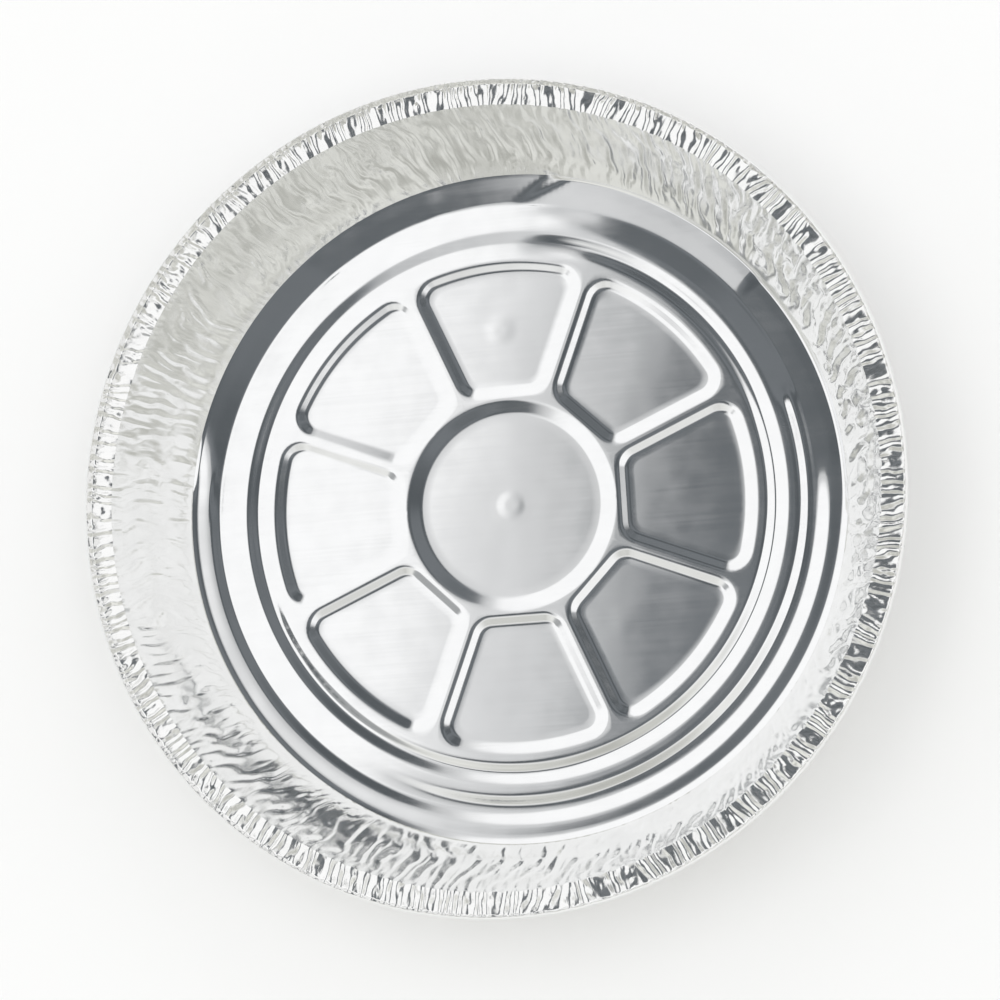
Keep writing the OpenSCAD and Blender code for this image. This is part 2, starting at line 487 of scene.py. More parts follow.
def place(tree: Tree, kind: str, inputs: dict | None = None, **settings: object) -> Node:
    """Adds a node.

    Args:
        tree: The tree.
        kind: The node's type.
        inputs: What goes into its inputs, by name.
        settings: The node's own settings.

    Returns:
        The node.
    """
    node = tree.nodes.new(kind)
    for key, value in settings.items():
        setattr(node, key, value)
    for key, value in (inputs or {}).items():
        plug(node.inputs[key], value)
    return node


def joined(tree: Tree, x: object, y: object, z: object) -> Socket:
    """Adds a vector.

    Args:
        tree: The tree.
        x: Its first number or wire.
        y: Its second one.
        z: Its third one.

    Returns:
        The vector's socket.
    """
    node = place(tree, "ShaderNodeCombineXYZ")
    for socket, value in zip(node.inputs, (x, y, z)):
        plug(socket, value)
    return node.outputs[0]


def mixed(share: Wire, first: object, second: object) -> Socket:
    """Mixes two colours or colour sockets. The share is the second one's."""
    inputs = {0: share, 6: first, 7: second}
    return place(share.socket.id_data, "ShaderNodeMix", inputs, data_type="RGBA").outputs[2]


def cloud(at: Socket, size: float, detail: float) -> Wire:
    """Smooth noise between -1 and 1, which changes about size times over one unit."""
    inputs = {"Vector": at, "Scale": size, "Detail": detail}
    return Wire(place(at.id_data, "ShaderNodeTexNoise", inputs).outputs[0]) * 2.0 - 1.0


@dataclass
class TreeMaker:
    """Builds one Geometry Nodes tree with named inputs and sets them on an object."""

    name: str
    tree: Tree = field(init=False)
    sockets: dict[str, str] = field(default_factory=dict, init=False)
    entry: Node = field(init=False)

    def __post_init__(self) -> None:
        """Starts the tree with its geometry input and output."""
        self.tree = bpy.data.node_groups.new(self.name, "GeometryNodeTree")
        for way in ("INPUT", "OUTPUT"):
            self.tree.interface.new_socket(
                "Geometry", in_out=way, socket_type="NodeSocketGeometry"
            )
        self.entry = self.tree.nodes.new("NodeGroupInput")

    def input(self, name: str, kind: str) -> Socket:
        """Adds a named input.

        Args:
            name: The input's name.
            kind: Its type, such as Float, Int or Material.

        Returns:
            The socket that gives its value inside the tree.
        """
        made = self.tree.interface.new_socket(name, in_out="INPUT", socket_type="NodeSocket" + kind)
        self.sockets[name] = made.identifier
        return self.entry.outputs[name]

    def end(self, geometry: Socket, material: Socket) -> None:
        """Ends the tree in real geometry with its material.

        Args:
            geometry: What the tree made.
            material: The material input.
        """
        real = place(self.tree, "GeometryNodeRealizeInstances", {"Geometry": geometry})
        dressed = place(
            self.tree, "GeometryNodeSetMaterial",
            {"Geometry": real.outputs[0], "Material": material},
        )
        out = self.tree.nodes.new("NodeGroupOutput")
        plug(out.inputs[0], dressed.outputs[0])

    def run(self, obj: Object, values: dict[str, object]) -> bpy.types.Mesh:
        """Runs the tree on an object.

        Args:
            obj: The object that the tree starts from; it is used up.
            values: The inputs' values by name.

        Returns:
            The plain mesh.
        """
        modifier = obj.modifiers.new(self.name, "NODES")
        modifier.node_group = self.tree
        for name, value in values.items():
            modifier[self.sockets[name]] = value
        depsgraph = bpy.context.evaluated_depsgraph_get()
        mesh = bpy.data.meshes.new_from_object(obj.evaluated_get(depsgraph))
        bpy.data.objects.remove(obj)
        return mesh


# --- Finishes


@dataclass(frozen=True)
class FoilFinish:
    """How the foil looks in one zone of the sheet."""

    name: str
    colour: Colour
    roughness: float
    roughness_change: float
    dent_depth: float
    crinkle_depth: float = 0.0
    crinkle_size: float = 0.2
    crinkle_stretch: float = 1.0
    rolling_depth: float = 0.0003


FINISHES: dict[Zone, FoilFinish] = {
    Zone.BOTTOM: FoilFinish(
        "pressed_foil", (0.90, 0.905, 0.91, 1.0), roughness=0.10, roughness_change=0.03,
        dent_depth=0.012,
    ),
    Zone.WALL: FoilFinish(
        "gathered_foil", (0.91, 0.91, 0.90, 1.0), roughness=0.15, roughness_change=0.05,
        dent_depth=0.01, crinkle_depth=0.02, crinkle_size=0.75, crinkle_stretch=0.14,
    ),
    Zone.RIM: FoilFinish(
        "crimped_foil", (0.91, 0.91, 0.905, 1.0), roughness=0.16, roughness_change=0.05,
        dent_depth=0.0, crinkle_depth=0.05, crinkle_size=0.8, crinkle_stretch=0.5,
    ),
}


class EffectGroups:
    """The shader node groups that every zone's foil shares."""

    def __init__(self) -> None:
        """Builds the groups once."""
        self.rolling = self._rolling()
        self.crinkle = self._crinkle()
        self.handling = self._handling()

    @staticmethod
    def _start(
        name: str, inputs: Sequence[str], outputs: Sequence[str]
    ) -> tuple[Tree, dict[str, Wire], Node, list[Wire]]:
        """Starts a group.

        Args:
            name: The group's name.
            inputs: Names of its number inputs.
            outputs: Names of its number outputs.

        Returns:
            The tree, a wire for each input, the output node, and wires for the place on
            the piece in millimetres.
        """
        tree = bpy.data.node_groups.new(name, "ShaderNodeTree")
        for way, labels in (("INPUT", inputs), ("OUTPUT", outputs)):
            for label in labels:
                tree.interface.new_socket(label, in_out=way, socket_type="NodeSocketFloat")
        entry = tree.nodes.new("NodeGroupInput")
        wires = {label: Wire(entry.outputs[label]) for label in inputs}
        on_piece = place(tree, "ShaderNodeTexCoord").outputs["Object"]
        split = place(tree, "ShaderNodeSeparateXYZ", {"Vector": on_piece})
        spot = [Wire(s) / MM for s in split.outputs]
        return tree, wires, tree.nodes.new("NodeGroupOutput"), spot

    def _rolling(self) -> Tree:
        """Fine straight lines that the rolling mill leaves along one direction of the sheet.

        Returns:
            The group.
        """
        tree, wires, out, (x, y, z) = self._start("rolling lines", ["Depth"], ["Height", "Mask"])
        fine = cloud(joined(tree, x * 0.03, y * 2.6, z * 2.6), 1.0, 3.0)
        broad = cloud(joined(tree, x * 0.008, y * 0.45, z * 0.45), 1.0, 2.0)
        lines = fine + broad
        plug(out.inputs["Height"], lines * wires["Depth"] * MM)
        plug(out.inputs["Mask"], lines.ramp(-0.6, 0.6))
        return tree

    def _crinkle(self) -> Tree:
        """Small creases that run up the wall and out over the rim.

        Returns:
            The group.
        """
        inputs = ["Depth", "Size", "Stretch"]
        tree, wires, out, (x, y, z) = self._start("crinkle", inputs, ["Height"])
        radius = (x * x + y * y).math("SQRT")
        reach = wires["Size"] * WALL_R
        climb = (radius + z) * wires["Size"] * wires["Stretch"]
        at = joined(tree, x / radius * reach, y / radius * reach, climb)
        bend = place(tree, "ShaderNodeTexNoise", {"Vector": at, "Scale": 0.35, "Detail": 1.0})
        scaled = place(
            tree, "ShaderNodeVectorMath", {0: bend.outputs["Color"], "Scale": 1.6},
            operation="SCALE",
        )
        bent = place(tree, "ShaderNodeVectorMath", {0: at, 1: scaled.outputs[0]}, operation="ADD")
        cells = place(
            tree, "ShaderNodeTexVoronoi", {"Vector": bent.outputs[0], "Scale": 1.0}, feature="F1"
        )
        ridges = Wire(cells.outputs["Distance"])
        plug(out.inputs["Height"], (ridges - 0.5) * wires["Depth"] * MM)
        return tree

    def _handling(self) -> Tree:
        """Faint cloudy changes of gloss and shallow dents from stacking and handling.

        Returns:
            The group.
        """
        tree, wires, out, (x, y, z) = self._start("handling", ["Depth"], ["Height", "Mask"])
        at = joined(tree, x, y, z)
        plug(out.inputs["Height"], cloud(at, 0.07, 1.0) * wires["Depth"] * MM)
        plug(out.inputs["Mask"], cloud(at, 0.12, 3.0).ramp(-0.5, 0.5))
        return tree


class FoilMaterials:
    """Bright rolled aluminium, dressed for each zone of the sheet."""

    darkening: float = 0.965

    def __init__(self) -> None:
        """Builds the shared groups and one material for each zone."""
        self.groups = EffectGroups()
        self.by_zone = {zone: self._build(finish) for zone, finish in FINISHES.items()}

    def _build(self, finish: FoilFinish) -> bpy.types.Material:
        """Builds one zone's material.

        Args:
            finish: The zone's values.

        Returns:
            The material.
        """
        material = bpy.data.materials.new(finish.name)
        material.use_nodes = True
        tree = material.node_tree
        tree.nodes.clear()
        shader = tree.nodes.new("ShaderNodeBsdfPrincipled")
        out = tree.nodes.new("ShaderNodeOutputMaterial")
        plug(out.inputs[0], shader.outputs[0])
        shader.inputs["Metallic"].default_value = 1.0
        rolling = place(
            tree, "ShaderNodeGroup", {"Depth": finish.rolling_depth}, node_tree=self.groups.rolling
        )
        handling = place(
            tree, "ShaderNodeGroup", {"Depth": finish.dent_depth}, node_tree=self.groups.handling
        )
        height = Wire(rolling.outputs["Height"]) + Wire(handling.outputs["Height"])
        if finish.crinkle_depth:
            crinkle = place(tree, "ShaderNodeGroup", {
                "Depth": finish.crinkle_depth, "Size": finish.crinkle_size,
                "Stretch": finish.crinkle_stretch,
            }, node_tree=self.groups.crinkle)
            height = height + Wire(crinkle.outputs["Height"])
        bump = place(tree, "ShaderNodeBump", {"Strength": 1.0, "Distance": 1.0, "Height": height})
        plug(shader.inputs["Normal"], bump.outputs[0])
        gloss = Wire(handling.outputs["Mask"]) * 0.6
        gloss = gloss + Wire(rolling.outputs["Mask"]) * 0.4
        rough = (gloss - 0.5) * finish.roughness_change * 2.0 + finish.roughness
        plug(shader.inputs["Roughness"], rough)
        darker = (*(c * self.darkening for c in finish.colour[:3]), 1.0)
        plug(shader.inputs["Base Color"], mixed(gloss, finish.colour, darker))
        return material


# --- The pressed bottom


@dataclass(frozen=True)
class SlackStretch:
    """A stretch of the bands and rings where the press has left another line than elsewhere."""

    start: float
    end: float
    soft_start: float
    soft_end: float
    lean: float
    line: tuple[Pair, ...]

    def blend(self, radius: np.ndarray, angle: np.ndarray, height: np.ndarray) -> np.ndarray:
        """Puts the stretch into the sheet.

        Args:
            radius: The points' radii in millimetres.
            angle: Their angles in degrees.
            height: Their heights in millimetres.

        Returns:
            The heights with the stretch in place.
        """
        radii, heights = zip(*self.line)
        turned = angle + self.lean * (radius - radii[0])
        share = smooth_step((turned - self.start) / self.soft_start)
        share *= smooth_step((self.end - turned) / self.soft_end)
        share *= (radius > radii[0]) & (radius < radii[-1])
        return height + share * (np.interp(radius, radii, heights) - height)


@dataclass(frozen=True)
class Crease:
    """A shallow valley that runs from the groove out to the foot of the wall."""

    angle: float
    reach: float
    lean: float
    depth: float
    between: Pair

    def drop(self, radius: np.ndarray, angle: np.ndarray) -> np.ndarray:
        """How far the crease lowers the sheet.

        Args:
            radius: The points' radii in millimetres.
            angle: Their angles in degrees.

        Returns:
            The drop at each point in millimetres.
        """
        middle = sum(self.between) / 2
        away = np.abs(angle - self.angle + self.lean * (radius - middle)) / self.reach
        ends = smooth_step(radius - self.between[0] + 1) * smooth_step(self.between[1] + 1 - radius)
        return self.depth * np.clip(1 - away, 0, 1) * ends


@dataclass
class PressedBottom:
    """The embossed bottom: disc, eight panels with spokes between them, and rings round them."""

    sizes: TinSizes
    materials: FoilMaterials
    soft: float = 0.7
    panel_trim: float = 0.1
    disc_rise: float = 0.13
    # The parts of the outer arc are odd in number, and those of the chord and corners even.
    arc_parts: int = 37
    chord_parts: int = 12
    side_parts: int = 20
    corner_parts: int = 8
    floor_rows: int = 13
    web_rows: int = 3
    sag: float = 0.1
    sag_size: float = 0.035
    sag_seed: float = 3.1
    sag_fade: float = 4.0
    slack: tuple[SlackStretch, ...] = tuple(starmap(SlackStretch, (
        (68, 205, 14, 12, 0, ((71.7, 1), (72.6, 0.97), (76.6, 0.18), (77.5, 0.1))),
        (68, 268, 14, 40, 0, ((80.2, 1), (81.4, 0.95), (85.5, 0.5), (88.6, 0.24), (88.9, 0.22))),
        (70, 165, 16, 55, 0, ((72, 1), (77, 0.72), (80.6, 1))),
        (14.5, 82, 4, 14, 0, ((81.2, 1), (82.2, 0.96), (88.5, 0.15), (88.9, 0.13))),
        (37.6, 180, 0.9, 13, 0.3, ((88.6, 0.14), (89, 0.14), (96.9, 0.52), (97.3, 1.5))),
        (82.5, 180, 4.5, 13, 0.85, ((88.6, 0.24), (89.1, 0.25), (97, 1.44), (97.3, 1.5))),
        (-15, 38.5, 20, 0.9, 0, ((87.9, 0.13), (88.3, 0.12), (96.3, 0.11), (97.3, 1.5))),
        (168, 265, 8, 40, 0, ((91.8, 0.93), (92.4, 0.98), (96, 1.2), (97.3, 1.5))),
        (-85, 17, 20, 5, 0, ((83.5, 1), (83.75, 0.99), (86.2, 0.11), (86.55, 0.1))),
        (-85, 24, 20, 14, 0, ((74.2, 1), (74.5, 0.985), (76.85, 0.055), (77.2, 0.04))),
    )))
    creases: tuple[Crease, ...] = (
        Crease(102.0, 3.0, 0.0, 0.05, (89.0, 97.0)),
        Crease(126.0, 4.0, -0.3, 0.07, (89.0, 97.0)),
    )
    radii: RingRadii = field(init=False)

    def __post_init__(self) -> None:
        """Works out the centres of the panel's corner arcs."""
        s = self.sizes
        self.radii = RingRadii.of(s)
        self.half = math.pi / s.panels
        gap = s.spoke_w / 2 + s.slope_w + s.panel_r
        along = np.array((math.cos(self.half), math.sin(self.half)))
        inward = np.array((math.sin(self.half), -math.cos(self.half)))
        foot = self.radii.hub + s.hub_w + s.slope_w
        reach_in = (foot + s.panel_r - gap * inward[0]) / along[0]
        reach_out = math.sqrt((self.radii.panel_out - s.panel_r) ** 2 - gap**2)
        self.in_centre = along * reach_in + inward * gap
        self.out_centre = along * reach_out + inward * gap

    def _outline(self, grow: float) -> np.ndarray:
        """One closed line round a panel.

        Args:
            grow: Its distance outside the corner arcs' centres, in millimetres.

        Returns:
            Its points, from the middle line's outer end round the +Y side.
        """
        turn = math.atan2(self.out_centre[1], self.out_centre[0])
        side = self.half + math.pi / 2
        corner = shares(self.corner_parts)
        on_chord = shares(self.chord_parts // 2)
        outer = arc(math.hypot(*self.out_centre) + grow, turn * half_shares(self.arc_parts))
        bend = arc(grow, turn + (side - turn) * corner, self.out_centre)
        inner = arc(grow, side + (math.pi - side) * np.r_[0, corner], self.in_centre)
        along = bend[-1] + (inner[0] - bend[-1]) * shares(self.side_parts)[:, None]
        chord = inner[-1] * np.c_[np.ones(len(on_chord)), 1 - on_chord]
        return mirrored(np.vstack([outer, bend, along, inner[1:], chord]))

    def _boundary(self, hub_r: float, rib_r: float) -> np.ndarray:
        """The edge of one panel's share of the bottom, with a point for each of the outline's.

        Args:
            hub_r: Radius of its inner arc.
            rib_r: Radius of its outer arc.

        Returns:
            Its points.
        """
        on_hub = (self.chord_parts + self.corner_parts) // 2
        spoke = rib_r + (hub_r - rib_r) * shares(self.side_parts + self.corner_parts)
        return mirrored(np.vstack([
            arc(rib_r, self.half * half_shares(self.arc_parts + self.corner_parts)),
            np.c_[spoke * math.cos(self.half), spoke * math.sin(self.half)],
            arc(hub_r, self.half * (1 - shares(on_hub))),
        ]))

    def _panel(self) -> tuple[np.ndarray, list[tuple[int, ...]]]:
        """One panel with its slopes and its share of the spokes, hub and rib.

        Returns:
            Points in millimetres and faces.
        """
        s = self.sizes
        foot, top = s.panel_r + self.panel_trim, s.panel_r + s.slope_w - self.panel_trim
        middle = np.array((s.faint_at, 0.0))
        first = self._outline(foot - self.soft)
        edge = self._boundary(self.radii.hub + self.soft, self.radii.rib_out - self.soft)
        slope = rounded_line([
            (foot - s.slope_w, s.foil_t, 0), (foot, s.foil_t, self.soft),
            (top, s.raised, self.soft), (top + s.slope_w, s.raised, 0),
        ], 3)[2:-1]
        levels = [(middle + (first - middle) * t**1.25, s.foil_t) for t in shares(self.floor_rows)]
        levels += [(self._outline(grow), z) for grow, z in slope]
        last = levels[-1][0]
        levels += [(last + (edge - last) * t, s.raised) for t in shares(self.web_rows)]
        rows = [np.c_[flat, np.full(len(flat), z)] for flat, z in levels]
        count = len(first)
        points = np.vstack([np.append(middle, s.foil_t)[None], *rows])
        faces: list[tuple[int, ...]] = [(0, 1 + i, 1 + (i + 1) % count) for i in range(count)]
        faces += [tuple(i + 1 for i in f) for f in grid_faces(len(rows), count, True)]
        return points, faces

    def _wedge(self, line: Sequence[Pair], parts: int) -> tuple[np.ndarray, list]:
        """One panel's share of a pressed ring: points in millimetres, and faces."""
        turns = np.linspace(-self.half, self.half, parts + 1)
        return revolved(line, turns), grid_faces(len(line), parts + 1, False)

    def _share(self) -> Object:
        """Makes all that repeats with each panel.

        Returns:
            One mesh object.
        """
        s, r, soft = self.sizes, self.radii, self.soft
        low, high = s.foil_t, s.raised
        thin = low + self.disc_rise
        disc = refined(rounded_line([
            (s.dimple_d / 2, thin, 0), (s.disc_d / 2, thin, soft),
            (r.hub, high, soft), (r.hub + soft, high, 0),
        ], 3)[:-1], 2.6)
        dimple = [
            (s.dimple_d / 2 * t, thin + s.dimple_h * float(self._dome(np.array(t))))
            for t in (1e-5, 0.15, 0.3, 0.4, 0.5, 0.6, 0.7, 0.8, 0.9)
        ]
        rings = refined(rounded_line([
            (r.rib_out - soft, high, 0), (r.rib_out, high, soft), (r.valley, low, soft),
            (r.ring_in, high, soft), (r.ring_out, high, soft), (r.groove_in, low, soft),
            (r.groove_out, low, soft), (r.band_in, high, soft), (r.band_out, high, soft),
            (s.corner_r, high + s.corner_h, 0),
        ], 3)[1:], 0.8)
        points, faces = [], []
        across = self.chord_parts + self.corner_parts
        for p, f in (
            self._panel(),
            self._wedge(dimple + disc, across),
            self._wedge(rings, self.arc_parts + self.corner_parts),
        ):
            start = sum(len(q) for q in points)
            points.append(p)
            faces += [tuple(i + start for i in face) for face in f]
        return new_object("panel_share", np.vstack(points) * MM, faces)

    @staticmethod
    def _dome(away: np.ndarray) -> np.ndarray:
        """Height share of a dimple: flat on top, with its fall toward its rim at 1."""
        return 1 - smooth_step((away - 0.3) / 0.7)

    @staticmethod
    def _repeater() -> TreeMaker:
        """Builds the tree that repeats the panel's share round the middle.

        Returns:
            The tree, with the count and the weld distance as named inputs.
        """
        maker = TreeMaker("repeat round the middle")
        count = maker.input("Count", "Int")
        weld = maker.input("Weld distance", "Float")
        material = maker.input("Foil", "Material")
        tree = maker.tree
        line = place(tree, "GeometryNodeMeshLine", {"Count": count, "Offset": (0.0, 0.0, 0.0)})
        index = place(tree, "GeometryNodeInputIndex")
        turn = Wire(index.outputs[0]) * math.tau / Wire(count)
        rotation = place(tree, "FunctionNodeEulerToRotation", {0: joined(tree, 0.0, 0.0, turn)})
        copies = place(tree, "GeometryNodeInstanceOnPoints", {
            "Points": line.outputs[0], "Instance": maker.entry.outputs[0],
            "Rotation": rotation.outputs[0],
        })
        real = place(tree, "GeometryNodeRealizeInstances", {"Geometry": copies.outputs[0]})
        merged = place(
            tree, "GeometryNodeMergeByDistance", {"Geometry": real.outputs[0], "Distance": weld}
        )
        maker.end(merged.outputs[0], material)
        return maker

    def _unevenness(self, x: np.ndarray, y: np.ndarray) -> np.ndarray:
        """How far the pressed sheet stands off its true form.

        Args:
            x: Places across, in millimetres.
            y: Places along, in millimetres.

        Returns:
            The rise at each place, in millimetres.
        """
        spots = zip(x * self.sag_size, y * self.sag_size)
        rise = np.array([noise.noise(Vector((a, b, self.sag_seed))) for a, b in spots])
        fade = np.clip((self.sizes.corner_r - np.hypot(x, y)) / self.sag_fade, 0, 1)
        return self.sag * (rise * 0.5 + 0.5) * fade

    def build(self) -> Object:
        """Makes the bottom.

        Returns:
            The piece.
        """
        s = self.sizes
        material = self.materials.by_zone[Zone.BOTTOM]
        mesh = self._repeater().run(
            self._share(), {"Count": s.panels, "Weld distance": 0.02 * MM, "Foil": material}
        )
        points = rows_of(mesh.vertices, "co") / MM
        x, y = points[:, 0], points[:, 1]
        away = np.hypot(x, y - s.faint_at) / (s.dimple_d / 2)
        points[:, 2] += s.faint_h * self._dome(away)
        radius, angle = np.hypot(x, y), (np.degrees(np.arctan2(y, x)) + 90) % 360 - 90
        for stretch in self.slack:
            points[:, 2] = stretch.blend(radius, angle, points[:, 2])
        for crease in self.creases:
            points[:, 2] -= crease.drop(radius, angle)
        points[:, 2] += self._unevenness(x, y)
        mesh.vertices.foreach_set("co", (points * MM).ravel())
        mesh.update()
        faces = [tuple(p.vertices) for p in mesh.polygons]
        normals = rows_of(mesh.vertex_normals, "vector")
        piece = Sheet(points * MM, normals, faces, s.foil_t * MM).to_piece(Zone.BOTTOM.value)
        FlatMap(piece).discs()
        piece.data.materials.append(material)
        bpy.data.meshes.remove(mesh)
        return piece


# --- The gathered wall and the crimped rim

BAND_INPUTS = (
    "Crimps", "Gathers", "Gather depth", "Crease depth", "Crimp depth", "Lip depth",
    "Crumple", "Buckling", "Slant", "Seed",
)


@dataclass
class GatheredSide:
    """The wall and the rim: one band of foil, gathered by a rule and crimped along its edge."""

    sizes: TinSizes
    materials: FoilMaterials
    columns: int = 1800
    wall_rows: int = 22
    crimps: int = 216
    gathers: int = 108
    gather_depth: float = 0.3
    crease_depth: float = 0.42
    crimp_depth: float = 0.6
    lip_depth: float = 0.2
    crumple: float = 0.1
    buckling: float = 3.4
    slant: float = 1.0
    seed: float = 7.0

    def profile(self) -> tuple[list[Pair], int]:
        """The line that the band follows from the foot of the wall to the free edge.

        Returns:
            (radius, height) of its rows in millimetres, and the crest's row.
        """
        s = self.sizes
        foot = (s.corner_r, s.raised + s.corner_h)
        crest = (s.crest_r, s.crest_z)
        wall = [
            (foot[0] + (crest[0] - foot[0]) * t, foot[1] + (crest[1] - foot[1]) * t)
            for t in np.linspace(0, 1, self.wall_rows + 1)
        ]
        edge = s.rim_d / 2
        rim = rounded_line([
            (*crest, 0), (edge - s.lip_inset, s.lip_foot_z, 0.5),
            (edge - s.curl_w, s.tin_h + 0.15, 0.4), (edge, s.tin_h - 0.9, 0.5),
            (edge - 0.1, s.tin_h - s.curl_h, 0),
        ], 4)
        return wall + refined(rim, 0.75)[1:], len(wall) - 1

    def _band(self, line: Sequence[Pair], runs: np.ndarray) -> Object:
        """The smooth band before it is gathered.

        Args:
            line: Its profile.
            runs: The run along the profile up to each of its rows.

        Returns:
            The object, with the turn and the run along the profile kept at each point.
        """
        turns = np.arange(self.columns) / self.columns
        points = revolved(line, turns * math.tau)
        obj = new_object("smooth_band", points * MM, grid_faces(len(line), self.columns, True))
        kept = {"turn": np.tile(turns, len(line)), "run": np.repeat(runs, self.columns)}
        for name, values in kept.items():
            obj.data.attributes.new(name, "FLOAT", "POINT").data.foreach_set("value", values)
        return obj

    def _gatherer(self, wall_run: float) -> TreeMaker:
        """Builds the tree that gathers the wall and crimps the rim.

        Args:
            wall_run: Length of the wall's profile in millimetres.

        Returns:
            The tree, with its depths and counts as named inputs.
        """
        maker = TreeMaker("gather and crimp")
        value = {name: Wire(maker.input(name, "Float")) for name in BAND_INPUTS}
        material = maker.input("Foil", "Material")
        tree = maker.tree
        turn, run = (
            Wire(place(
                tree, "GeometryNodeInputNamedAttribute", {"Name": name}, data_type="FLOAT"
            ).outputs[0])
            for name in ("turn", "run")
        )
        angle = turn * math.tau
        east, north = angle.math("COSINE") * WALL_R, angle.math("SINE") * WALL_R
        climb = run.math("MINIMUM", wall_run)

        def drift(
            across: float, along: float, shift: float, detail: float = 1.0, path: Wire = run
        ) -> Wire:
            """Noise that can be longer up the band than round it."""
            x, y = east * across + value["Seed"] + shift, north * across
            return cloud(joined(tree, x, y, path * along + shift), 1.0, detail)

        # Where the wall is pressed in, its gathers are deep and smooth.
        pressed = (angle - 0.2).math("COSINE").ramp(0.6, 1.0)
        sway = drift(0.02, 0.045, 3.0, 2.0, climb) * value["Slant"] * 3.2
        jostle = drift(0.16, 0.05, 11.0, 2.0, climb) * 1.1
        across_rim = (run - climb) * drift(0.06, 0.0, 95.0) * 0.3
        kinks = drift(0.45, 0.3, 63.0) * run.ramp(wall_run - 2.0, wall_run + 1.5) * 0.45
        wobble = drift(0.05, 0.12, 87.0) * pressed * 0.6
        gather_phase = turn * value["Gathers"] + sway * 0.55 + jostle * 0.8 + wobble
        crimp_phase = turn * value["Crimps"] + sway + jostle + across_rim + kinks
        patches = drift(0.05, 0.06, 23.0, 2.0).ramp(-0.45, 0.45, 0.15, 1.3)
        each = drift(0.28, 0.08, 31.0).ramp(-0.5, 0.5, 0.3, 1.4)
        gathers = gather_phase.wave() * value["Gather depth"] * 0.5
        gathers = gathers * (pressed * value["Buckling"] + 1.0)
        gathers = gathers * run.ramp(0.3, 7.0) * run.ramp(wall_run - 9.0, wall_run + 0.5, 1.0, 0.12)
        upper = run.ramp(wall_run - 22.0, wall_run - 5.0, 0.0, 1.3)
        pinch = patches * each * (pressed * -1.0 + 1.0) + pressed * upper * (each * 0.5 + 0.5)
        creases = (crimp_phase + wobble).pillows(2.4) * value["Crease depth"] * pinch
        creases = creases * run.ramp(0.2, 4.0) * run.ramp(wall_run - 1.0, wall_run + 0.5, 1.0, 0.0)
        crimps = crimp_phase.wave() * value["Crimp depth"] * 0.5 * (each * 0.8 + 0.35)
        ledge_end = wall_run + self.sizes.rim_w - self.sizes.lip_inset
        crimps = crimps * run.ramp(wall_run - 1.4, wall_run + 0.5)
        crimps = crimps * run.ramp(ledge_end + 0.2, ledge_end + 2.6, 1.0, 0.3)
        lip = drift(0.9, 0.5, 43.0, 2.0) * value["Lip depth"] * 0.5
        lip = lip * run.ramp(ledge_end - 1.0, ledge_end + 0.5)
        crumple = drift(0.3, 0.11, 57.0, 3.0) * value["Crumple"] * run.ramp(0.3, 5.0)
        crumple = crumple * (pressed * -0.9 + 1.0)
        push = (gathers + creases + crimps + lip + crumple) * MM
        normal = place(tree, "GeometryNodeInputNormal")
        offset = place(
            tree, "ShaderNodeVectorMath", {0: normal.outputs[0], "Scale": push}, operation="SCALE"
        )
        moved = place(
            tree, "GeometryNodeSetPosition",
            {"Geometry": maker.entry.outputs[0], "Offset": offset.outputs[0]},
        )
        maker.end(moved.outputs[0], material)
        return maker

    def build(self) -> list[Object]:
        """Makes the wall and the rim.

        Returns:
            The two pieces, which meet at the crest.
        """
        line, crest_row = self.profile()
        runs = np.concatenate([[0], np.cumsum(np.hypot(*np.diff(np.array(line), axis=0).T))])
        values: dict[str, object] = {
            name: float(getattr(self, name.lower().replace(" ", "_"))) for name in BAND_INPUTS
        }
        values["Foil"] = self.materials.by_zone[Zone.WALL]
        mesh = self._gatherer(float(runs[crest_row])).run(self._band(line, runs), values)
        points, normals = rows_of(mesh.vertices, "co"), rows_of(mesh.vertex_normals, "vector")
        bpy.data.meshes.remove(mesh)
        pieces = []
        for zone, first, last, cells in (
            (Zone.WALL, 0, crest_row, 4), (Zone.RIM, crest_row, len(line) - 1, 8),
        ):
            rows = last - first + 1
            part = slice(first * self.columns, (last + 1) * self.columns)
            faces = grid_faces(rows, self.columns, True)
            sheet = Sheet(points[part], normals[part], faces, self.sizes.foil_t * MM)
            piece = sheet.to_piece(zone.value)
            climb = (runs[first:last + 1] - runs[first]) / (runs[last] - runs[first])
            FlatMap(piece).lengths(np.repeat(climb, self.columns), cells)
            piece.data.materials.append(self.materials.by_zone[zone])
            pieces.append(piece)
        return pieces


# --- Studio


